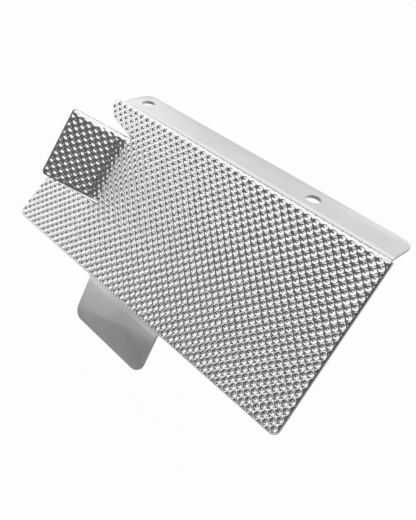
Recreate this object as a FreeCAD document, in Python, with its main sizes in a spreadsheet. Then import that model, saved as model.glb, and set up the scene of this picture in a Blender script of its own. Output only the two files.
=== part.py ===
# Firewall heat shield: a folded aluminium backing plate that carries an embossed aluminium face sheet.
#
# Frame of the finished part: the bolted flange lies flat with its bolts upright. The origin is midway
# between the two bolt holes on the underside of the flange, +X runs along the fold, +Y points from the
# fold to the flange's free edge, and the shield slopes down and forward from the fold.
#
# Both pieces are drawn with the panel flat first: X along the fold, Y up to the fold, Z out of the
# embossed face, with the plate's front face at Z = 0 and the start of the flange's bend at Y = 0.

import FreeCAD, Part
import Sketcher
import math
import os

Vector = FreeCAD.Vector
UP = Vector(0, 0, 1)

# Tolerances for finding an edge: its distance from a corner, and its lean from the upright
NEAR = 1e-4
PARALLEL = 1e-6

# Driving dimensions in millimetres and degrees
SIZES = [
    ("plate_thickness", 2.0, "sheet of the backing plate"),
    ("panel_height", 108.0, "lower edge to the start of the flange's bend"),
    ("panel_right", 131.0, "bolt centre to the right edge"),
    ("panel_left", 117.5, "bolt centre to the lower left corner"),
    ("left_edge_slant", 11.5, "lean of the leg's left edge"),
    ("leg_height", 36.5, "height of the leg's left edge"),
    ("slit_width", 2.0, "saw cut between leg and ear"),
    ("lobe_reach", 90.8, "bolt centre to the tip of the upper left lobe"),
    ("lobe_drop", 11.0, "depth of the lobe at its tip"),
    ("lobe_top_radius", 2.5, "upper round of the lobe's tip"),
    ("lobe_tip_radius", 9.0, "lower round of the lobe's tip"),
    ("panel_corner_radius", 4.0, "lower corners of the panel"),
    ("slit_corner_radius", 1.5, "round at the blind end of the slit"),
    ("leg_corner_radius", 2.0, "upper left corner of the leg"),
    ("flange_left", 83.0, "bolt centre to the left end of the flange"),
    ("flange_right", 130.0, "bolt centre to the right end of the flange"),
    ("flange_flat", 20.0, "flat width of the flange beyond its bend"),
    ("flange_bend_angle", 56.0, "turn of the flange, to the back"),
    ("flange_bend_radius", 2.0, "inside radius of the flange's bend"),
    ("flange_corner_radius", 6.0, "outer corners of the flange"),
    ("bolt_spacing", 143.0, "centre to centre of the bolt holes"),
    ("bolt_hole", 9.0, "diameter of the bolt holes"),
    ("bolt_from_bend", 8.5, "end of the bend to the bolt centres"),
    ("tab_left", 30.0, "bolt centre to the left side of the tab"),
    ("tab_right", 37.5, "bolt centre to the right side of the tab"),
    ("tab_flat", 27.3, "flat length of the tab beyond its bend"),
    ("tab_bend_angle", 12.0, "turn of the tab, to the back"),
    ("tab_bend_radius", 12.0, "inside radius of the tab's bend"),
    ("tab_corner_radius", 7.0, "outer corners of the tab"),
    ("tab_root_radius", 2.5, "hollow rounds where the tab leaves the panel"),
    ("ear_root_x", 60.7, "bolt centre to the upper end of the ear's bend"),
    ("ear_root_drop", 18.3, "fold to the upper end of the ear's bend"),
    ("ear_slant", 4.5, "lean of the ear's bend line"),
    ("ear_width", 48.0, "ear along its bend line"),
    ("ear_flat", 32.5, "flat length of the ear beyond its bend"),
    ("ear_bend_angle", 48.0, "turn of the ear, to the front"),
    ("ear_bend_radius", 12.0, "front radius of the ear's bend"),
    ("ear_corner_radius", 3.0, "outer corners of the ear"),
    ("face_thickness", 0.6, "face sheet at the bottom of its dimples"),
    ("dimple_pitch", 4.1, "spacing of the dimples along their diagonal rows"),
    ("dimple_depth", 1.2, "depth of a dimple below the raised points beside it"),
    ("dimple_from_right", 5.5, "right edge of the plate to the last dimples of the top row"),
    ("dimple_from_fold", 2.6, "start of the flange's bend to the top row of dimples"),
    ("face_margin", 1.2, "plate left bare around the face sheet"),
    ("face_fold_margin", 0.4, "plate left bare beside the flange's bend"),
    ("ear_bare_strip", 3.0, "plate left bare along the ear's upper edge"),
]

doc = FreeCAD.newDocument("heat_shield")
dim = doc.addObject("Spreadsheet::Sheet", "dim")
for row, (alias, number, note) in enumerate(SIZES, 1):
    dim.set(f"A{row}", note)
    dim.set(f"B{row}", str(number))
    dim.setAlias(f"B{row}", alias)
doc.recompute()


def value(expression):
    """The number that an expression on the sheet gives now."""
    return float(dim.evalExpression(expression))


# Placements, as expressions, of the planes that the folds and flats are drawn on
def plane(x, y, z, *turns):
    """A placement at (x, y, z), turned about one axis after another."""
    parts = [f"placement(vector({x}; {y}; {z}); rotation(vector(1; 0; 0); 0))"]
    for axis, angle in turns:
        direction = {"x": "1; 0; 0", "z": "0; 0; 1"}[axis]
        parts.append(f"placement(vector(0; 0; 0); rotation(vector({direction}); {angle}))")
    return " * ".join(parts)


FLANGE_OUTER = "(dim.flange_bend_radius + dim.plate_thickness)"
FLANGE_BEND = plane("0", "0", f"-{FLANGE_OUTER}", ("x", "90"))
FLANGE_FLAT = plane(
    "0",
    f"{FLANGE_OUTER} * sin(dim.flange_bend_angle)",
    f"{FLANGE_OUTER} * (cos(dim.flange_bend_angle) - 1)",
    ("x", "-dim.flange_bend_angle"),
)
TAB_OUTER = "(dim.tab_bend_radius + dim.plate_thickness)"
TAB_BEND = plane("0", "-dim.panel_height", f"-{TAB_OUTER}", ("x", "90"))
TAB_FLAT = plane(
    "0",
    f"-dim.panel_height - {TAB_OUTER} * sin(dim.tab_bend_angle)",
    f"{TAB_OUTER} * (cos(dim.tab_bend_angle) - 1)",
    ("x", "dim.tab_bend_angle"),
)
# The ear's own frame stands at the upper end of its bend: x up the bend line, y out to the ear's tip
EAR_FRAME = plane("-dim.ear_root_x", "-dim.ear_root_drop", "0", ("z", "90 + dim.ear_slant"))
EAR_BEND = f"{EAR_FRAME} * {plane('0', '0', 'dim.ear_bend_radius', ('x', '90'))}"
EAR_FLAT = EAR_FRAME + " * " + plane(
    "0",
    "dim.ear_bend_radius * sin(dim.ear_bend_angle)",
    "dim.ear_bend_radius * (1 - cos(dim.ear_bend_angle))",
    ("x", "dim.ear_bend_angle"),
)
PANEL = plane("0", "0", "0")


# Drawing helpers
def draw(body, name, where, corners):
    """A closed outline whose corners are held by distances bound to the sheet."""
    sketch = body.newObject("Sketcher::SketchObject", name)
    flat = next(item for item in body.Origin.OriginFeatures if item.Role == "XY_Plane")
    sketch.AttachmentSupport = [(flat, "")]
    sketch.MapMode = "FlatFace"
    sketch.setExpression("AttachmentOffset", where)
    spots = [Vector(value(x), value(y), 0) for x, y in corners]
    count = len(spots)
    for index in range(count):
        sketch.addGeometry(Part.LineSegment(spots[index], spots[(index + 1) % count]))
    for index in range(count):
        sketch.addConstraint(Sketcher.Constraint("Coincident", index, 2, (index + 1) % count, 1))
    for index, (x, y) in enumerate(corners):
        for kind, expression, number in (("DistanceX", x, spots[index].x), ("DistanceY", y, spots[index].y)):
            held = sketch.addConstraint(Sketcher.Constraint(kind, -1, 1, index, 1, number))
            sketch.setExpression(f"Constraints[{held}]", expression)
    return sketch


def box_corners(left, right, low, high):
    """The four corners of an upright rectangle."""
    return [(left, low), (right, low), (right, high), (left, high)]


def pad(body, sketch, length, backward):
    """Thicken an outline to a sheet, behind its plane or in front of it."""
    feature = body.newObject("PartDesign::Pad", sketch.Name + "_pad")
    feature.Profile = sketch
    feature.Reversed = backward
    feature.setExpression("Length", length)
    return feature


def fold(body, sketch, angle, reverse):
    """Sweep a section of sheet round the fold's axis, which is the sketch's own X axis."""
    feature = body.newObject("PartDesign::Revolution", sketch.Name + "_fold")
    feature.Profile = sketch
    feature.ReferenceAxis = (sketch, ["H_Axis"])
    feature.Reversed = reverse
    feature.setExpression("Angle", angle)
    return feature


def round_corners(body, sketch, corners, radius):
    """Round the edges that stand on the given corners of an outline."""
    doc.recompute()
    base = body.Tip
    upright = sketch.Placement.Rotation.multVec(UP)
    names = []
    for x, y in corners:
        spot = Part.Vertex(sketch.Placement.multVec(Vector(value(x), value(y), 0)))
        for number, edge in enumerate(base.Shape.Edges, 1):
            if not isinstance(edge.Curve, Part.Line) or edge.distToShape(spot)[0] > NEAR:
                continue
            if edge.tangentAt(0).cross(upright).Length < PARALLEL:
                names.append(f"Edge{number}")
    feature = body.newObject("PartDesign::Fillet", sketch.Name + "_round")
    feature.Base = (base, names)
    feature.setExpression("Radius", radius)
    return feature


# Corners that the plate and the face sheet share
LEAN = "tan(dim.left_edge_slant)"
LOWER_LEFT = ("-dim.panel_left", "-dim.panel_height")
LOWER_RIGHT = ("dim.panel_right", "-dim.panel_height")
LOBE_TOP = ("-dim.lobe_reach", "0")
LOBE_TIP = ("-dim.lobe_reach", "-dim.lobe_drop")
LEG_TOP = (f"-dim.panel_left + dim.leg_height * {LEAN}", "dim.leg_height - dim.panel_height")


def on_bend_line(distance):
    """A point on the ear's bend line, so far below its upper end."""
    x = f"-dim.ear_root_x + ({distance}) * sin(dim.ear_slant)"
    y = f"-dim.ear_root_drop - ({distance}) * cos(dim.ear_slant)"
    return x, y


def shifted(corner, right, up):
    """A corner moved by two expressions."""
    return f"{corner[0]} + {right}", f"{corner[1]} + {up}"


EAR_ROOT_TOP = on_bend_line("0")
EAR_ROOT_LOW = on_bend_line("dim.ear_width")
SLIT_END = on_bend_line("dim.ear_width + dim.slit_width")

# Backing plate: panel, flange, tab and ear of one folded sheet
plate = doc.addObject("PartDesign::Body", "backing_plate")
plate.Label = "backing_plate"

panel = draw(plate, "panel", PANEL, [
    LOWER_LEFT, LOWER_RIGHT, ("dim.panel_right", "0"), LOBE_TOP, LOBE_TIP,
    EAR_ROOT_TOP, EAR_ROOT_LOW, SLIT_END, LEG_TOP,
])
pad(plate, panel, "dim.plate_thickness", True)
round_corners(plate, panel, [LOWER_LEFT, LOWER_RIGHT], "dim.panel_corner_radius")
round_corners(plate, panel, [LOBE_TOP], "dim.lobe_top_radius")
round_corners(plate, panel, [LOBE_TIP], "dim.lobe_tip_radius")
round_corners(plate, panel, [SLIT_END], "dim.slit_corner_radius")
round_corners(plate, panel, [LEG_TOP], "dim.leg_corner_radius")

flange_bend = draw(plate, "flange_bend", FLANGE_BEND, box_corners(
    "-dim.flange_left", "dim.flange_right", "dim.flange_bend_radius", FLANGE_OUTER))
fold(plate, flange_bend, "dim.flange_bend_angle", True)
flange = draw(plate, "flange", FLANGE_FLAT, box_corners(
    "-dim.flange_left", "dim.flange_right", "0", "dim.flange_flat"))
pad(plate, flange, "dim.plate_thickness", True)
round_corners(plate, flange, [
    ("-dim.flange_left", "dim.flange_flat"),
    ("dim.flange_right", "dim.flange_flat"),
], "dim.flange_corner_radius")

tab_bend = draw(plate, "tab_bend", TAB_BEND, box_corners(
    "-dim.tab_left", "dim.tab_right", "dim.tab_bend_radius", TAB_OUTER))
fold(plate, tab_bend, "dim.tab_bend_angle", False)
tab = draw(plate, "tab", TAB_FLAT, box_corners("-dim.tab_left", "dim.tab_right", "-dim.tab_flat", "0"))
pad(plate, tab, "dim.plate_thickness", True)
round_corners(plate, tab, [
    ("-dim.tab_left", "-dim.tab_flat"),
    ("dim.tab_right", "-dim.tab_flat"),
], "dim.tab_corner_radius")

ear_bend = draw(plate, "ear_bend", EAR_BEND, box_corners(
    "-dim.ear_width", "0", "-dim.ear_bend_radius - dim.plate_thickness", "-dim.ear_bend_radius"))
fold(plate, ear_bend, "dim.ear_bend_angle", False)
ear = draw(plate, "ear", EAR_FLAT, box_corners("-dim.ear_width", "0", "0", "dim.ear_flat"))
pad(plate, ear, "dim.plate_thickness", True)
round_corners(plate, ear, [
    ("-dim.ear_width", "dim.ear_flat"),
    ("0", "dim.ear_flat"),
], "dim.ear_corner_radius")

# Hollow rounds at the tab's root, cut once every fold is in place
round_corners(plate, panel, [
    ("-dim.tab_left", "-dim.panel_height"),
    ("dim.tab_right", "-dim.panel_height"),
], "dim.tab_root_radius")

# Two clearance holes through the flange
holes = plate.newObject("Sketcher::SketchObject", "bolt_holes")
holes.AttachmentSupport = [(next(f for f in plate.Origin.OriginFeatures if f.Role == "XY_Plane"), "")]
holes.MapMode = "FlatFace"
holes.setExpression("AttachmentOffset", FLANGE_FLAT)
for index, side in enumerate((-1, 1)):
    centre = Vector(side * value("dim.bolt_spacing / 2"), value("dim.bolt_from_bend"), 0)
    holes.addGeometry(Part.Circle(centre, UP, value("dim.bolt_hole / 2")))
    for kind, number, expression in (
        ("DistanceX", centre.x, f"{side} * dim.bolt_spacing / 2"),
        ("DistanceY", centre.y, "dim.bolt_from_bend"),
    ):
        held = holes.addConstraint(Sketcher.Constraint(kind, -1, 1, index, 3, number))
        holes.setExpression(f"Constraints[{held}]", expression)
    held = holes.addConstraint(Sketcher.Constraint("Diameter", index, value("dim.bolt_hole")))
    holes.setExpression(f"Constraints[{held}]", "dim.bolt_hole")
drill = plate.newObject("PartDesign::Pocket", "bolt_holes_cut")
drill.Profile = holes
drill.setExpression("Length", "dim.plate_thickness")
doc.recompute()


# Embossed stock: a sheet with a four-sided point raised on every other square of a fine grid. The squares
# between are the dimples, which lie in rows at 45 degrees to the sheet's edges
def embossed_stock(columns, rows, square):
    """A closed slab of the given number of grid squares, lying on Z = 0."""
    ground = value("dim.face_thickness")
    rise = Vector(0, 0, value("dim.dimple_depth"))
    grid = [[Vector(i * square, j * square, ground) for j in range(rows + 1)] for i in range(columns + 1)]
    faces = []

    def facet(*points):
        faces.append(Part.Face(Part.makePolygon([*points, points[0]])))

    for i in range(columns):
        for j in range(rows):
            corners = [grid[i][j], grid[i + 1][j], grid[i + 1][j + 1], grid[i][j + 1]]
            if (i + j) % 2:
                facet(*corners)
                continue
            peak = (corners[0] + corners[2]) * 0.5 + rise
            for side in range(4):
                facet(corners[side], corners[(side + 1) % 4], peak)
    across = columns * square
    along = rows * square
    base = [Vector(0, 0, 0), Vector(across, 0, 0), Vector(across, along, 0), Vector(0, along, 0)]
    facet(*reversed(base))
    facet(base[0], base[1], *[grid[i][0] for i in range(columns, -1, -1)])
    facet(base[1], base[2], *[grid[columns][j] for j in range(rows, -1, -1)])
    facet(base[2], base[3], *[grid[i][rows] for i in range(columns + 1)])
    facet(base[3], base[0], *[grid[0][j] for j in range(rows + 1)])
    shell = Part.makeShell(faces)
    shell.sewShape()
    return Part.Solid(shell)


def trimmed(name, stock_shape, stock_place, where, corners, rounds=()):
    """A piece of embossed stock, cut to an outline that is drawn on the given plane."""
    stock = doc.addObject("Part::Feature", name + "_stock")
    stock.Shape = stock_shape
    stock.Placement = stock_place
    blank = doc.addObject("PartDesign::Body", name + "_blank")
    sketch = draw(blank, name + "_outline", where, corners)
    pad(blank, sketch, "dim.face_thickness + dim.dimple_depth", False)
    for corner, radius in rounds:
        round_corners(blank, sketch, [corner], radius)
    piece = doc.addObject("Part::Common", name)
    piece.Base = stock
    piece.Tool = blank
    return piece


square = value("dim.dimple_pitch") / math.sqrt(2)
MARGIN = "dim.face_margin"
FACE_LOWER_LEFT = shifted(LOWER_LEFT, MARGIN, MARGIN)
FACE_LOWER_RIGHT = shifted(LOWER_RIGHT, f"-{MARGIN}", MARGIN)
FACE_LOBE_TOP = shifted(LOBE_TOP, MARGIN, "-dim.face_fold_margin")
FACE_LOBE_TIP = shifted(LOBE_TIP, MARGIN, MARGIN)

# Face sheet on the panel, with its grid counted from the last dimple of the top row
last_x = value("dim.panel_right - dim.dimple_from_right")
last_y = value("-dim.dimple_from_fold")
squares_left = math.ceil((value("dim.panel_left") + last_x) / square)
squares_below = math.ceil((value("dim.panel_height") + last_y) / square)
squares_left += (squares_left + squares_below + 1) % 2
panel_columns = squares_left + math.ceil(value("dim.dimple_from_right") / square) + 1
panel_rows = squares_below + math.ceil(value("dim.dimple_from_fold") / square) + 1
panel_corner = Vector(last_x - (squares_left + 0.5) * square, last_y - (squares_below + 0.5) * square, 0)
face_panel = trimmed(
    "face_panel",
    embossed_stock(panel_columns, panel_rows, square),
    FreeCAD.Placement(panel_corner, FreeCAD.Rotation()),
    PANEL,
    [
        FACE_LOWER_LEFT,
        FACE_LOWER_RIGHT,
        ("dim.panel_right - dim.face_margin", "-dim.face_fold_margin"),
        FACE_LOBE_TOP,
        FACE_LOBE_TIP,
        shifted(EAR_ROOT_TOP, MARGIN, MARGIN),
        on_bend_line("dim.ear_bare_strip"),
        on_bend_line("dim.ear_width - dim.face_margin"),
        shifted(SLIT_END, MARGIN, f"-{MARGIN}"),
        shifted(LEG_TOP, MARGIN, f"-{MARGIN}"),
    ],
    [
        (FACE_LOWER_LEFT, "dim.panel_corner_radius - dim.face_margin"),
        (FACE_LOWER_RIGHT, "dim.panel_corner_radius - dim.face_margin"),
        (FACE_LOBE_TOP, "dim.lobe_top_radius - dim.face_margin"),
        (FACE_LOBE_TIP, "dim.lobe_tip_radius - dim.face_margin"),
    ],
)

# Face sheet in the ear's bend, where the dimples are pressed flat
EAR_LOW = "dim.face_margin - dim.ear_width"
EAR_HIGH = "-dim.ear_bare_strip"
EAR_TIP = "dim.ear_flat - dim.face_margin"
face_bend = doc.addObject("PartDesign::Body", "face_bend")
face_strip = draw(face_bend, "face_strip", EAR_BEND, box_corners(
    EAR_LOW, EAR_HIGH, "-dim.ear_bend_radius", "dim.face_thickness - dim.ear_bend_radius"))
fold(face_bend, face_strip, "dim.ear_bend_angle", False)
doc.recompute()

# Face sheet on the ear, with its grid counted from the ear's lower corner at the bend
ear_columns = math.ceil(value("dim.ear_width") / square)
ear_rows = math.ceil(value("dim.ear_flat") / square)
ear_corner = FreeCAD.Placement(Vector(value(EAR_LOW), 0, 0), FreeCAD.Rotation())
face_ear = trimmed(
    "face_ear",
    embossed_stock(ear_columns, ear_rows, square),
    ear.Placement.multiply(ear_corner),
    EAR_FLAT,
    box_corners(EAR_LOW, EAR_HIGH, "0", EAR_TIP),
    [
        ((EAR_LOW, EAR_TIP), "dim.ear_corner_radius - dim.face_margin"),
        ((EAR_HIGH, EAR_TIP), "dim.ear_corner_radius - dim.face_margin"),
    ],
)

face = doc.addObject("Part::MultiFuse", "embossed_face")
face.Label = "embossed_face"
face.Shapes = [face_panel, face_bend, face_ear]

# Turn both pieces so that the flange lies flat, with the middle of its bolts at the origin
INSTALLED = plane(
    "0",
    f"-{FLANGE_OUTER} * sin(dim.flange_bend_angle) - dim.bolt_from_bend",
    f"dim.plate_thickness - {FLANGE_OUTER} * (1 - cos(dim.flange_bend_angle))",
    ("x", "dim.flange_bend_angle"),
)
for piece in (plate, face):
    piece.setExpression("Placement", INSTALLED)
doc.recompute()

# Nothing is written unless every object is sound
for item in doc.Objects:
    if "Invalid" in item.State or "Error" in item.State:
        raise RuntimeError(f"{item.Name} failed: {item.State}")
for piece in (plate, face):
    shape = piece.Shape
    if shape.isNull() or not shape.isValid() or len(shape.Solids) != 1:
        raise RuntimeError(f"{piece.Label} is not one sound solid")

os.makedirs("parts", exist_ok=True)
for piece in (plate, face):
    piece.Shape.exportStep(f"parts/{piece.Label}.step")
    box = piece.Shape.BoundBox
    print(piece.Label, len(piece.Shape.Faces), "faces", round(piece.Shape.Volume, 1), "mm3", box)
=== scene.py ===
# %% [markdown]
# # Firewall heat shield
# A heat shield of this kind is two sheets of aluminium laid face to face: a plain backing plate, folded
# to a flange, a tab and an ear, and a thin bright sheet with pressed dimples on its front. Both are made
# here as a sheet metal worker makes them: cut flat, stamped, then folded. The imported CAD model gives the
# sizes and the place, and each sheet made here stands for its CAD node.

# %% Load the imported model
import math

import bmesh
import bpy
from mathutils import Matrix, Vector


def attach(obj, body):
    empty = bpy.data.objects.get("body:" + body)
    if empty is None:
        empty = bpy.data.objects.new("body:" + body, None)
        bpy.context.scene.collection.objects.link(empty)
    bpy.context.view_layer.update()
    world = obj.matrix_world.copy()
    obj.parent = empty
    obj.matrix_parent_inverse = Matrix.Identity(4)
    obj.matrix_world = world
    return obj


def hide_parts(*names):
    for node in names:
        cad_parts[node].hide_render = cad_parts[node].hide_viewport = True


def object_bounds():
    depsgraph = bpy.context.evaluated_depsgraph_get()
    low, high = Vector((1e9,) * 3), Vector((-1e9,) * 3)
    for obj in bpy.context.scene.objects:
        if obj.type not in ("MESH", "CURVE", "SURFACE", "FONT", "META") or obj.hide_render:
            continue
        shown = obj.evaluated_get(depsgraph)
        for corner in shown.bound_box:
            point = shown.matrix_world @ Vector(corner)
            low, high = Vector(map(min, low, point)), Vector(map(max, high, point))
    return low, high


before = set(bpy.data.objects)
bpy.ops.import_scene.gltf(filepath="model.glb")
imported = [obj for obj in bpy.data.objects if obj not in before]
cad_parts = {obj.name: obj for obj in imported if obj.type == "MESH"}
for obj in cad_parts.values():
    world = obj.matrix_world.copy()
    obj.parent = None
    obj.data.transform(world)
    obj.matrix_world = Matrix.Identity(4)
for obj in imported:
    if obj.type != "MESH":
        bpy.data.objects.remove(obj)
cad_box = [list(corner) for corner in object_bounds()]
print("CAD box in metres:", cad_box)

# %% [markdown]
# ## Measures
# The sheet metal is drawn in millimetres on the panel's own plane, with X along the flange's fold, Y up to
# that fold and Z out of the dimpled face. One matrix then turns the drawing to the installed position,
# where the flange lies flat and the middle of its two bolts is the origin, in metres.

# %% Panel plane and installed position
MM = 0.001
THICKNESS = 2.0
FLANGE_TURN = math.radians(56.0)
FLANGE_RADIUS = 4.0
BOLT_FROM_BEND = 8.5
drop = Vector((
    0.0,
    -FLANGE_RADIUS * math.sin(FLANGE_TURN) - BOLT_FROM_BEND,
    THICKNESS - FLANGE_RADIUS * (1.0 - math.cos(FLANGE_TURN)),
))
INSTALLED = Matrix.Scale(MM, 4) @ Matrix.Translation(drop) @ Matrix.Rotation(FLANGE_TURN, 4, "X")
print("the fold line starts at", [round(part, 5) for part in INSTALLED @ Vector((0.0, 0.0, 0.0))])

# %% Bends of the plate, measured on its front face
TAB_TURN = math.radians(12.0)
TAB_RADIUS = 14.0
EAR_TURN = math.radians(48.0)
EAR_RADIUS = 12.0
EAR_SLANT = math.radians(4.5)
EAR_ROOT = Vector((-60.7, -18.3))
flange_arc = FLANGE_RADIUS * FLANGE_TURN
tab_arc = TAB_RADIUS * TAB_TURN
ear_arc = EAR_RADIUS * EAR_TURN
up_bend = Vector((-math.sin(EAR_SLANT), math.cos(EAR_SLANT)))
out_of_bend = Vector((-math.cos(EAR_SLANT), -math.sin(EAR_SLANT)))


def ear_point(down, out):
    """A point of the unfolded ear: so far down its bend line, and so far out from it."""
    spot = EAR_ROOT - up_bend * down + out_of_bend * out
    return spot.x, spot.y


def ear_place(spot):
    """How far down the ear's bend line a point is, and how far out beyond it."""
    offset = spot - EAR_ROOT
    return -offset.dot(up_bend), offset.dot(out_of_bend)


print("bend lengths:", round(flange_arc, 2), round(tab_arc, 2), round(ear_arc, 2), "mm")

# %% [markdown]
# ## Cutting the plate
# The plate is one blank. Its outline runs round the panel, the tab, the flange, the lobe beside the notch,
# the ear and the leg below the slit. A few corner points make one flat face, and a vertex bevel rounds
# each corner by its own amount, hollow corners too. Extruding gives the thickness, and a small bevel takes
# the sharpness off the cut edges, so that they catch the light as real ones do.

# %% Corners of the plate's blank
PANEL_LEFT = -117.5
PANEL_RIGHT = 131.0
PANEL_FOOT = -108.0
FLANGE_LEFT = -83.0
FLANGE_RIGHT = 130.0
TAB_LEFT = -30.0
TAB_RIGHT = 37.5
LOBE_LEFT = -90.8
LOBE_FOOT = -11.0
EAR_WIDTH = 48.0
SLIT_WIDTH = 1.0
FLANGE_EDGE = flange_arc + 20.0
TAB_EDGE = PANEL_FOOT - tab_arc - 27.3
EAR_EDGE = ear_arc + 32.5
plate_corners = [
    ((PANEL_LEFT, PANEL_FOOT), 5.0),
    ((TAB_LEFT, PANEL_FOOT), 2.5),
    ((TAB_LEFT, TAB_EDGE), 7.0),
    ((TAB_RIGHT, TAB_EDGE), 7.0),
    ((TAB_RIGHT, PANEL_FOOT), 2.5),
    ((PANEL_RIGHT, PANEL_FOOT), 4.0),
    ((PANEL_RIGHT, 0.0), 0.0),
    ((FLANGE_RIGHT, 0.0), 0.0),
    ((FLANGE_RIGHT, FLANGE_EDGE), 6.0),
    ((FLANGE_LEFT, FLANGE_EDGE), 6.0),
    ((FLANGE_LEFT, 0.0), 0.0),
    ((LOBE_LEFT, 0.0), 2.5),
    ((LOBE_LEFT, LOBE_FOOT), 7.1),
    (ear_point(0.0, 0.0), 1.5),
    (ear_point(0.0, EAR_EDGE), 3.0),
    (ear_point(EAR_WIDTH, EAR_EDGE), 3.0),
    (ear_point(EAR_WIDTH, 0.0), 0.0),
    (ear_point(EAR_WIDTH + SLIT_WIDTH, 0.0), 0.5),
    ((-110.0, -71.4), 2.0),
]
CORNER_STEPS = 8


def rounded_face(corners):
    """One flat face on the given corners, each rounded by its own amount."""
    bm = bmesh.new()
    rim = [bm.verts.new((x, y, 0.0)) for (x, y), _ in corners]
    bm.faces.new(rim)
    for vert, (_, reach) in zip(rim, corners):
        if reach:
            bmesh.ops.bevel(
                bm, geom=[vert], offset=reach, offset_type="OFFSET", affect="VERTICES",
                segments=CORNER_STEPS, profile=0.5, material=-1,
            )
    return bm


def thicken(bm, depth):
    """Extrudes the flat face along Z and leaves a closed solid."""
    made = bmesh.ops.extrude_face_region(bm, geom=bm.faces[:])["geom"]
    moved = [item for item in made if isinstance(item, bmesh.types.BMVert)]
    bmesh.ops.translate(bm, vec=(0.0, 0.0, depth), verts=moved)
    bmesh.ops.recalc_face_normals(bm, faces=bm.faces)


plate = rounded_face(plate_corners)
print("plate blank:", round(sum(face.calc_area() for face in plate.faces)), "mm2")

# %% Thicken the blank and soften its edges
EDGE_BREAK = 0.22
SHARP = math.radians(60.0)
thicken(plate, -THICKNESS)
cut_edges = [
    edge for edge in plate.edges
    if edge.calc_face_angle(0.0) > SHARP and edge.verts[0].co.z == edge.verts[1].co.z
]
bmesh.ops.bevel(
    plate, geom=cut_edges, offset=EDGE_BREAK, offset_type="OFFSET", affect="EDGES",
    segments=2, profile=0.5, material=-1,
)
print("plate solid:", len(plate.faces), "faces")

# %% [markdown]
# ## Folding the plate
# A brake folds the flange and the tab to the back and the ear to the front. Straight cuts across each bend
# give the sheet points to bend at, with one more cut on either side that keeps the flats flat. Then every
# point past a bend line is moved on to the arc, or on to the flat beyond it. The front face keeps its
# length, so the same rule serves the plate and the dimpled sheet on it.

# %% Fold rules
BEND_CUTS = 14
BEND_GUARD = 0.6
EAR_SPAN = (-0.1, EAR_WIDTH + 0.5)


def cut_across(bm, points, normal):
    """Straight cuts through the sheet at the given points."""
    for x, y in points:
        bmesh.ops.bisect_plane(
            bm, geom=bm.verts[:] + bm.edges[:] + bm.faces[:], dist=1e-4,
            plane_co=(x, y, 0.0), plane_no=(normal[0], normal[1], 0.0),
        )


def bend_stations(arc):
    """Distances from a bend line at which the sheet is cut."""
    return [-BEND_GUARD] + [arc * step / BEND_CUTS for step in range(BEND_CUTS + 1)] + [arc + BEND_GUARD]


def bent(distance, height, radius, turn, side):
    """Where a point lies after a bend: how far out, and how high. Side is 1 for a fold to the front."""
    angle = min(distance / radius, turn)
    beyond = max(distance - radius * turn, 0.0)
    arm = radius - side * height
    out = arm * math.sin(angle) + beyond * math.cos(angle)
    rise = radius - arm * math.cos(angle) + beyond * math.sin(angle)
    return out, side * rise


def fold_ear(co):
    """Bends a point of the ear up to the front."""
    down, out = ear_place(co.xy)
    if out <= 0.0 or not EAR_SPAN[0] < down < EAR_SPAN[1]:
        return co
    reach, height = bent(out, co.z, EAR_RADIUS, EAR_TURN, 1.0)
    flat = EAR_ROOT - up_bend * down + out_of_bend * reach
    return Vector((flat.x, flat.y, height))


def fold_plate(co):
    """Bends a point of the plate: flange and tab to the back, ear to the front."""
    if co.y > 0.0:
        reach, height = bent(co.y, co.z, FLANGE_RADIUS, FLANGE_TURN, -1.0)
        return Vector((co.x, reach, height))
    if co.y < PANEL_FOOT:
        reach, height = bent(PANEL_FOOT - co.y, co.z, TAB_RADIUS, TAB_TURN, -1.0)
        return Vector((co.x, PANEL_FOOT - reach, height))
    return fold_ear(co)


# %% Fold the plate and install it
cut_across(plate, [(0.0, station) for station in bend_stations(flange_arc)[1:]], (0.0, 1.0))
cut_across(plate, [(0.0, PANEL_FOOT - station) for station in bend_stations(tab_arc)[1:]], (0.0, 1.0))
cut_across(plate, [ear_point(0.0, station) for station in bend_stations(ear_arc)], out_of_bend)
for vert in plate.verts:
    vert.co = fold_plate(vert.co.copy())
bmesh.ops.transform(plate, matrix=INSTALLED, verts=plate.verts)
print("folded plate:", len(plate.faces), "faces")

# %% [markdown]
# ## Bolt holes
# The two holes are drilled through the flange, which lies flat by now, so an upright drill cuts them. A
# Boolean with two short cylinders does the drilling, and its result is kept as a plain mesh.

# %% Drill the flange
HOLE_RADIUS = 4.5
BOLT_SPACING = 143.0
DRILL_SIDES = 48
DRILL_LENGTH = 6.0
PLATE_CREASE = math.radians(25.0)


def new_object(name, bm):
    """Turns a bmesh into an object of the scene."""
    mesh = bpy.data.meshes.new(name)
    bm.to_mesh(mesh)
    bm.free()
    piece = bpy.data.objects.new(name, mesh)
    bpy.context.scene.collection.objects.link(piece)
    return piece


def apply_boolean(piece, tool, operation):
    """Cuts a piece with a tool, keeps the result and throws the tool away."""
    cut = piece.modifiers.new("cut", "BOOLEAN")
    cut.operation = operation
    cut.solver = "EXACT"
    cut.object = tool
    bpy.context.view_layer.update()
    result = bpy.data.meshes.new_from_object(piece.evaluated_get(bpy.context.evaluated_depsgraph_get()))
    piece.modifiers.clear()
    piece.data = result
    bpy.data.objects.remove(tool)
    return result


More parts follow.
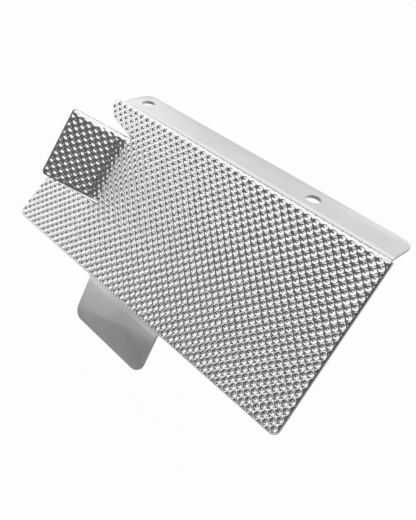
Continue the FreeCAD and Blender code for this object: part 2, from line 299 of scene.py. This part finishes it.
folded_plate = new_object("folded_plate", plate)
drills = bmesh.new()
for side in (-0.5, 0.5):
    bmesh.ops.create_cone(
        drills, cap_ends=True, segments=DRILL_SIDES, radius1=HOLE_RADIUS * MM, radius2=HOLE_RADIUS * MM,
        depth=DRILL_LENGTH * MM,
        matrix=Matrix.Translation((side * BOLT_SPACING * MM, 0.0, THICKNESS / 2.0 * MM)),
    )
plate_mesh = apply_boolean(folded_plate, new_object("drills", drills), "DIFFERENCE")
plate_mesh.shade_smooth()
plate_mesh.set_sharp_from_angle(angle=PLATE_CREASE)
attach(folded_plate, "root")
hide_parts("backing_plate")
print("drilled plate:", len(plate_mesh.polygons), "faces")

# %% [markdown]
# ## Outline of the dimpled sheet
# The dimpled sheet is cut a little smaller than the plate. It is drawn flat too, with the ear unfolded
# beyond its bend line. An inset of the plate's outline would nearly do, but the margins differ from side to
# side, so the corners are listed again.

# %% Corners of the dimpled sheet's blank
MARGIN = 1.2
SLIM_MARGIN = 0.4
FOLD_EDGE = 0.8
sheet_corners = [
    ((PANEL_LEFT + MARGIN, PANEL_FOOT + MARGIN), 3.4),
    ((PANEL_RIGHT - SLIM_MARGIN, PANEL_FOOT + MARGIN), 3.2),
    ((PANEL_RIGHT - SLIM_MARGIN, -SLIM_MARGIN), 0.4),
    ((FLANGE_RIGHT - SLIM_MARGIN, FOLD_EDGE), 0.6),
    ((-82.0, FOLD_EDGE), 0.0),
    ((-83.2, -SLIM_MARGIN), 0.0),
    ((LOBE_LEFT + MARGIN, -SLIM_MARGIN), 1.3),
    ((LOBE_LEFT + MARGIN, LOBE_FOOT + MARGIN), 6.1),
    ((EAR_ROOT.x + SLIM_MARGIN, EAR_ROOT.y + SLIM_MARGIN), 0.8),
    (ear_point(SLIM_MARGIN, 0.0), 0.0),
    (ear_point(SLIM_MARGIN, EAR_EDGE - MARGIN), 1.8),
    (ear_point(EAR_WIDTH - MARGIN, EAR_EDGE - MARGIN), 1.8),
    (ear_point(EAR_WIDTH - MARGIN, 0.0), 0.0),
    ((-55.56, -67.6), 0.0),
    ((-109.4, -71.8), 1.2),
]
die = rounded_face(sheet_corners)
print("sheet outline:", round(sum(face.calc_area() for face in die.faces)), "mm2")

# %% [markdown]
# ## Stamping the dimples
# Dimpled stock is pressed between rollers, so its round hollows lie on a square lattice that runs at 45
# degrees to the sheet's edges. A displacement texture could fake it, but real hollows give real highlights
# from every side. One lattice square is made of rings round its dimple, a few dozen faces in all. Spin
# operators with no turn then repeat it in rows, and neighbours share their border points, so a merge
# closes the seams.

# %% One lattice square
PITCH = 4.1
HALF = PITCH / math.sqrt(2.0)
LAST_DIMPLE = Vector((125.5, -2.6))
DIMPLE_RADIUS = PITCH * 0.465
RINGS = (0.34, 0.68, 1.0)
SPOKES = 12
sheet = bmesh.new()
bmesh.ops.create_circle(
    sheet, cap_ends=True, cap_tris=True, segments=SPOKES, radius=DIMPLE_RADIUS * RINGS[0])
for ring in (*RINGS[1:], None):
    rim = [edge for edge in sheet.edges if edge.is_boundary]
    for item in bmesh.ops.extrude_edge_only(sheet, edges=rim)["geom"]:
        if isinstance(item, bmesh.types.BMVert):
            ray = item.co.normalized()
            item.co = ray * (DIMPLE_RADIUS * ring if ring else HALF / (abs(ray.x) + abs(ray.y)))
print("one lattice square:", len(sheet.faces), "faces")

# %% Rows of squares
COLUMNS = 45
ROW_PAIRS = 20


def repeat(bm, step, times):
    """Copies everything so far along a straight step, as often as asked."""
    bmesh.ops.spin(
        bm, geom=bm.verts[:] + bm.edges[:] + bm.faces[:], cent=(0.0, 0.0, 0.0), axis=(0.0, 0.0, 1.0),
        dvec=(step[0], step[1], 0.0), angle=0.0, steps=times, use_duplicate=True,
    )


repeat(sheet, (-2.0 * HALF, 0.0), COLUMNS - 1)
repeat(sheet, (HALF, HALF), 1)
repeat(sheet, (0.0, -2.0 * HALF), ROW_PAIRS - 1)
bmesh.ops.translate(sheet, vec=(LAST_DIMPLE.x + 2.0 * HALF, LAST_DIMPLE.y, 0.0), verts=sheet.verts)
bmesh.ops.remove_doubles(sheet, verts=sheet.verts, dist=0.01)
print("lattice:", COLUMNS * ROW_PAIRS * 2, "squares,", len(sheet.faces), "faces")

# %% [markdown]
# ## Depth of the dimples
# Each dimple is a smooth bowl, set out by its distance from the nearest lattice point. The ear's bend
# stretches the bowls flatter. Beside the flange and along the ear's upper edge the sheet is pressed down to
# a plain sloping margin, which catches the light from above as a white line. At the right edge and at the
# ear's tip the sheet rises a little, so that its cut edge, painted near black as the shade of the gap under
# it, shows as a dark line.

# %% Press the sheet
GROUND = 1.0
DEPTH = 0.8
BOWL_POWER = 1.4
MARGIN_HEIGHT = 0.3
FOLD_SLOPE = 2.2
LIFT = 0.7
LIFT_X = (118.0, 131.0)
LIFT_Y = (-105.0, -20.0)
EAR_LIFT = 11.0
EAR_SLOPE = 3.0
BEND_FLATTER = 0.55
BEND_END = (8.0, 12.0)
EAR_ZONE = (-1.0, EAR_WIDTH + 1.0)


def smooth_step(low, high, amount):
    """A share that eases from 0 to 1 between two amounts."""
    share = min(max((amount - low) / (high - low), 0.0), 1.0)
    return share * share * (3.0 - 2.0 * share)


def sheet_height(spot):
    """Height of the pressed sheet above the plate."""
    across = (LAST_DIMPLE.x - spot.x) / HALF
    along = (spot.y - LAST_DIMPLE.y) / HALF
    first = (across + along) / 2.0
    second = (across - along) / 2.0
    reach = math.hypot(first - round(first), second - round(second)) * PITCH / DIMPLE_RADIUS
    bowl = max(1.0 - reach * reach, 0.0) ** BOWL_POWER
    share = smooth_step(0.0, FOLD_SLOPE, FOLD_EDGE - spot.y)
    lift = LIFT * smooth_step(*LIFT_X, spot.x) * smooth_step(*LIFT_Y, spot.y)
    down, out = ear_place(spot)
    if out > 0.0 and EAR_ZONE[0] < down < EAR_ZONE[1]:
        bowl *= 1.0 - BEND_FLATTER * (1.0 - smooth_step(*BEND_END, out))
        share *= smooth_step(SLIM_MARGIN, SLIM_MARGIN + EAR_SLOPE, down)
        lift = LIFT * smooth_step(EAR_EDGE - EAR_LIFT, EAR_EDGE, out)
    return MARGIN_HEIGHT + share * (GROUND + DEPTH * (1.0 - bowl) - MARGIN_HEIGHT + lift)


for vert in sheet.verts:
    vert.co.z = sheet_height(vert.co.xy)
rim = [edge for edge in sheet.edges if edge.is_boundary]
skirt = bmesh.ops.extrude_edge_only(sheet, edges=rim)["geom"]
for item in skirt:
    if isinstance(item, bmesh.types.BMVert):
        item.co.z = 0.0
bmesh.ops.edgeloop_fill(
    sheet, edges=[item for item in skirt if isinstance(item, bmesh.types.BMEdge) and item.is_boundary])
bmesh.ops.recalc_face_normals(sheet, faces=sheet.faces)
print("stamped sheet:", len(sheet.faces), "faces, open edges:", sum(edge.is_boundary for edge in sheet.edges))

# %% [markdown]
# ## Trimming and folding the sheet
# On the press a blanking die cuts the outline through the dimples, so they end as a wavy edge. The rounded
# outline is extruded to such a die, and a Boolean keeps what lies inside it. Then the ear is folded by the
# same rule as the plate's, and the sheet is turned to its installed position.

# %% Trim with the outline as a die
DIE_HEIGHT = 6.0
thicken(die, DIE_HEIGHT)
bmesh.ops.translate(die, vec=(0.0, 0.0, -DIE_HEIGHT / 2.0), verts=die.verts)
dimpled_sheet = new_object("dimpled_sheet", sheet)
sheet_mesh = apply_boolean(dimpled_sheet, new_object("die", die), "INTERSECT")
print("trimmed sheet:", len(sheet_mesh.polygons), "faces")

# %% Fold the ear and install the sheet
UPRIGHT = 0.05
SHEET_CREASE = math.radians(62.0)
bm = bmesh.new()
bm.from_mesh(sheet_mesh)
painted_gap_shade = bm.faces.layers.float.new("painted_gap_shade")
# The upright faces of the cut edge are marked for painted shade, which the material paints near black as the
# shade of the gap under the sheet.
for face in bm.faces:
    face[painted_gap_shade] = 1.0 if abs(face.normal.z) < UPRIGHT else 0.0
cut_across(bm, [ear_point(0.0, station) for station in bend_stations(ear_arc)], out_of_bend)
for vert in bm.verts:
    vert.co = fold_ear(vert.co.copy())
bmesh.ops.transform(bm, matrix=INSTALLED, verts=bm.verts)
bm.to_mesh(sheet_mesh)
bm.free()
sheet_mesh.shade_smooth()
sheet_mesh.set_sharp_from_angle(angle=SHEET_CREASE)
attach(dimpled_sheet, "root")
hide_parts("embossed_face")
sheet_mesh.calc_loop_triangles()
print("dimpled sheet:", len(sheet_mesh.loop_triangles), "triangles")

# %% [markdown]
# ## Shader maths
# Writing node maths as plain expressions keeps a material readable. One small class wraps a socket,
# overloads the arithmetic that is used, and has one method that adds any other node.


# %% A socket with arithmetic
class Signal:
    """A socket of a node tree. Arithmetic on it adds Math nodes."""

    def __init__(self, tree, socket=None):
        self.tree = tree
        self.socket = socket

    def node(self, kind, settings, sockets, output=0):
        """Adds a node, sets it up, then sets or links its sockets."""
        made = self.tree.nodes.new(kind)
        for name, setting in settings.items():
            setattr(made, name, setting)
        for name, content in sockets.items():
            if isinstance(content, Signal):
                self.tree.links.new(content.socket, made.inputs[name])
            else:
                made.inputs[name].default_value = content
        return Signal(self.tree, made.outputs[output] if made.outputs else None)

    def maths(self, operation, first, second):
        return self.node("ShaderNodeMath", {"operation": operation}, {0: first, 1: second})

    def __add__(self, other):
        return self.maths("ADD", self, other)

    def __radd__(self, other):
        return self.maths("ADD", other, self)

    def __sub__(self, other):
        return self.maths("SUBTRACT", self, other)

    def __rsub__(self, other):
        return self.maths("SUBTRACT", other, self)

    def __mul__(self, other):
        return self.maths("MULTIPLY", self, other)

    def __rmul__(self, other):
        return self.maths("MULTIPLY", other, self)


def new_material(name):
    """A node material, with a signal that starts its tree."""
    material = bpy.data.materials.new(name)
    material.use_nodes = True
    material.node_tree.nodes.clear()
    return material, Signal(material.node_tree)


# %% [markdown]
# ## Satin aluminium of the plate
# Plain aluminium from the mill is neither a mirror nor matt: its rolled surface blurs what it reflects,
# with faint cloudy marks from handling. A metallic shader with a middling roughness gives that. Cloudy noise
# varies its tone and its roughness a little, and a fine noise stretched along the roll is a faint bump.

# %% Satin plate
material, tree = new_material("satin_aluminium")
place = tree.node("ShaderNodeTexCoord", {}, {}, output="Object")
clouds = tree.node("ShaderNodeTexNoise", {}, {"Vector": place, "Scale": 90.0, "Detail": 4.0})
along_roll = tree.node("ShaderNodeMapping", {}, {"Vector": place, "Scale": (0.08, 1.0, 1.0)})
grain = tree.node("ShaderNodeTexNoise", {}, {"Vector": along_roll, "Scale": 3500.0, "Detail": 2.0})
tone = tree.node(
    "ShaderNodeMix", {"data_type": "RGBA"},
    {0: clouds, 6: (0.80, 0.80, 0.805, 1.0), 7: (0.90, 0.90, 0.905, 1.0)}, output=2)
relief = tree.node("ShaderNodeBump", {}, {"Strength": 0.05, "Distance": 0.0002, "Height": grain})
shader = tree.node("ShaderNodeBsdfPrincipled", {}, {
    "Base Color": tone, "Metallic": 1.0, "Roughness": 0.26 + clouds * 0.10, "Normal": relief})
tree.node("ShaderNodeOutputMaterial", {}, {"Surface": shader})
plate_mesh.materials.clear()
plate_mesh.materials.append(material)
print("plate material:", material.name)

# %% [markdown]
# ## Bright aluminium of the dimpled sheet
# The dimpled sheet is thin and bright rolled, so each dimple mirrors the studio as a small white and dark
# mark. Low roughness gives that, and a faint small noise in the bump breaks the marks up as stretched
# metal does. The faces of the cut edge are painted near black: a painted shade for the dark gap between the
# sheet and the plate.

# %% Bright dimpled sheet
material, tree = new_material("bright_aluminium")
place = tree.node("ShaderNodeTexCoord", {}, {}, output="Object")
waves = tree.node("ShaderNodeTexNoise", {}, {"Vector": place, "Scale": 420.0, "Detail": 3.0})
specks = tree.node("ShaderNodeTexNoise", {}, {"Vector": place, "Scale": 1500.0, "Detail": 2.0})
relief = tree.node("ShaderNodeBump", {}, {
    "Strength": 0.3, "Distance": 0.0006, "Height": waves + specks * 0.2})
# Painted shade: the marked faces of the cut edge get a near black colour for the shade of the gap under the
# sheet.
edge = tree.node("ShaderNodeAttribute", {"attribute_name": "painted_gap_shade"}, {}, output="Fac")
tone = tree.node(
    "ShaderNodeMix", {"data_type": "RGBA"},
    {0: edge, 6: (0.94, 0.94, 0.945, 1.0), 7: (0.03, 0.03, 0.03, 1.0)}, output=2)
shader = tree.node("ShaderNodeBsdfPrincipled", {}, {
    "Base Color": tone, "Metallic": 1.0, "Roughness": 0.08 + waves * 0.10, "Normal": relief})
tree.node("ShaderNodeOutputMaterial", {}, {"Surface": shader})
sheet_mesh.materials.clear()
sheet_mesh.materials.append(material)
print("sheet material:", material.name)

# %% [markdown]
# ## Floor
# A pale floor lies well below the shield, so that its shadow is soft. To the camera it is nearly white, and
# a share of its own shading keeps the shadow. An all white surround would wipe the dimples out, so mirrored
# in the metal the floor has no shading of its own but glows at painted levels of light: dim in front, and
# pale only at the left and behind.

# %% Floor
FLOOR_BELOW = 0.10
FLOOR_REACH = 4.0
SEEN_WHITE = 0.96
BACK_LEVEL = 0.50
NEAR_LEVEL = 0.30
FAR_LEVEL = 0.06
GLOW_LEFT = (0.45, 0.65)
GLOW_FRONT = (-0.55, -0.38)
GLOW_BACK = (0.0, 0.12)


def eased(amount, low, high, start=0.0, end=1.0):
    """A signal that eases from one level to another while an amount passes a range."""
    return amount.node("ShaderNodeMapRange", {"interpolation_type": "SMOOTHSTEP"}, {
        "Value": amount, "From Min": low, "From Max": high, "To Min": start, "To Max": end})


floor_height = cad_box[0][2] - FLOOR_BELOW
ground = bmesh.new()
bmesh.ops.create_grid(
    ground, x_segments=1, y_segments=1, size=FLOOR_REACH,
    matrix=Matrix.Translation((0.0, 0.0, floor_height)))
floor = new_object("floor", ground)
material, tree = new_material("pale_floor")
own = tree.node("ShaderNodeBsdfDiffuse", {}, {"Color": (0.80, 0.80, 0.80, 1.0)})
white = tree.node("ShaderNodeEmission", {}, {"Color": (1.0, 1.0, 1.0, 1.0), "Strength": 1.0})
black = tree.node("ShaderNodeEmission", {}, {"Color": (0.0, 0.0, 0.0, 1.0), "Strength": 1.0})
seen = tree.node("ShaderNodeLightPath", {}, {}, output="Is Camera Ray")
mirrored = tree.node("ShaderNodeLightPath", {}, {}, output="Is Glossy Ray")
place = tree.node("ShaderNodeTexCoord", {}, {}, output="Object")
place_x = tree.node("ShaderNodeSeparateXYZ", {}, {0: place}, output="X")
place_y = tree.node("ShaderNodeSeparateXYZ", {}, {0: place}, output="Y")
# Painted light: mirrored in the metal the floor glows by position, dim in front and pale at the left and
# behind, in place of its own shading.
near = eased(place_y, *GLOW_FRONT, FAR_LEVEL, NEAR_LEVEL)
back = eased(place_y, *GLOW_BACK, 0.0, BACK_LEVEL)
level = tree.maths("MAXIMUM", eased(place_x * -1.0, *GLOW_LEFT), tree.maths("MAXIMUM", near, back))
pale = tree.node("ShaderNodeMixShader", {}, {0: seen * SEEN_WHITE, 1: own, 2: white})
mirrored_glow = tree.node("ShaderNodeMixShader", {}, {0: level, 1: black, 2: white})
mixed = tree.node("ShaderNodeMixShader", {}, {0: mirrored, 1: pale, 2: mirrored_glow})
tree.node("ShaderNodeOutputMaterial", {}, {"Surface": mixed})
floor.data.materials.append(material)
print("floor at", round(floor_height, 4), "m")

# %% [markdown]
# ## Studio
# Bright metal is lit by what it mirrors. Area lamps could stand for the boards of a photographer, but a world
# painted by direction has no edges of lamps and little noise. It has white boards overhead, at the left and
# low in front, and a dim room between them, which gives each dimple its white side and its dark side. To the
# camera the world is plain white.

# %% World
LEFT_BOARD = (0.54, 0.68)
TOP_BOARD = (0.18, 0.55)
TOP_LEAN = 0.9
TOP_FADE = (0.35, 0.70)
TOP_BACK_LEVEL = 0.72
FRONT_HEAD = (-0.42, -0.32)
FRONT_LEFT = (-0.44, -0.36)
FRONT_RIGHT = (-0.3, 0.0)
FRONT_LEVEL = 0.10
RIGHT_LEVEL = 0.12
ROOM_SIDES = (-0.4, 0.4)
HORIZON = (0.0, 0.15)
HORIZON_SHARE = 0.3
BOARD_LEVEL = 1.0
world = bpy.data.worlds.new("studio")
bpy.context.scene.world = world
world.use_nodes = True
world.node_tree.nodes.clear()
tree = Signal(world.node_tree)
direction = tree.node("ShaderNodeTexCoord", {}, {}, output="Generated")
toward_x = tree.node("ShaderNodeSeparateXYZ", {}, {0: direction}, output="X")
toward_y = tree.node("ShaderNodeSeparateXYZ", {}, {0: direction}, output="Y")
toward_z = tree.node("ShaderNodeSeparateXYZ", {}, {0: direction}, output="Z")
left = eased(toward_x * -1.0, *LEFT_BOARD)
top = eased(toward_y + toward_z * TOP_LEAN, *TOP_BOARD) * eased(toward_y, *TOP_FADE, 1.0, TOP_BACK_LEVEL)
low = eased(toward_z * -1.0, *FRONT_HEAD)
front = low * eased(toward_x, *FRONT_LEFT) * eased(toward_x * -1.0, *FRONT_RIGHT)
boards = tree.maths("MAXIMUM", tree.maths("MAXIMUM", left, top), front)
dim = eased(toward_x, *ROOM_SIDES, FRONT_LEVEL, RIGHT_LEVEL) * eased(toward_z, *HORIZON, HORIZON_SHARE)
seen = tree.node("ShaderNodeLightPath", {}, {}, output="Is Camera Ray")
room = tree.node("ShaderNodeBackground", {}, {
    "Color": dim + boards * (BOARD_LEVEL - dim), "Strength": 1.0})
white = tree.node("ShaderNodeBackground", {}, {"Color": (1.0, 1.0, 1.0, 1.0), "Strength": 1.0})
mixed = tree.node("ShaderNodeMixShader", {}, {0: seen, 1: room, 2: white})
tree.node("ShaderNodeOutputWorld", {}, {"Surface": mixed})
print("world:", world.name)

# %% [markdown]
# ## Camera
# The camera looks down on the front of the shield from the right, a little tilted about its own axis. It
# is placed by where it stands, the point that it looks at, and its roll.

# %% Camera
CAMERA_AT = Vector((0.2126, -0.2592, 0.1525))
LOOKS_AT = Vector((0.0398, -0.0418, -0.0442))
CAMERA_ROLL = math.radians(-11.63)
CAMERA_LENS = 40.21
SENSOR = 36.0
camera_data = bpy.data.cameras.new("camera")
camera_data.lens = CAMERA_LENS
camera_data.sensor_fit = "VERTICAL"
camera_data.sensor_height = SENSOR
camera = bpy.data.objects.new("camera", camera_data)
bpy.context.scene.collection.objects.link(camera)
aim = (LOOKS_AT - CAMERA_AT).to_track_quat("-Z", "Y").to_matrix().to_4x4()
camera.matrix_world = Matrix.Translation(CAMERA_AT) @ aim @ Matrix.Rotation(-CAMERA_ROLL, 4, "Z")
bpy.context.scene.camera = camera
bpy.context.scene.view_settings.view_transform = "Standard"
print("camera", round((LOOKS_AT - CAMERA_AT).length, 3), "m from the panel")
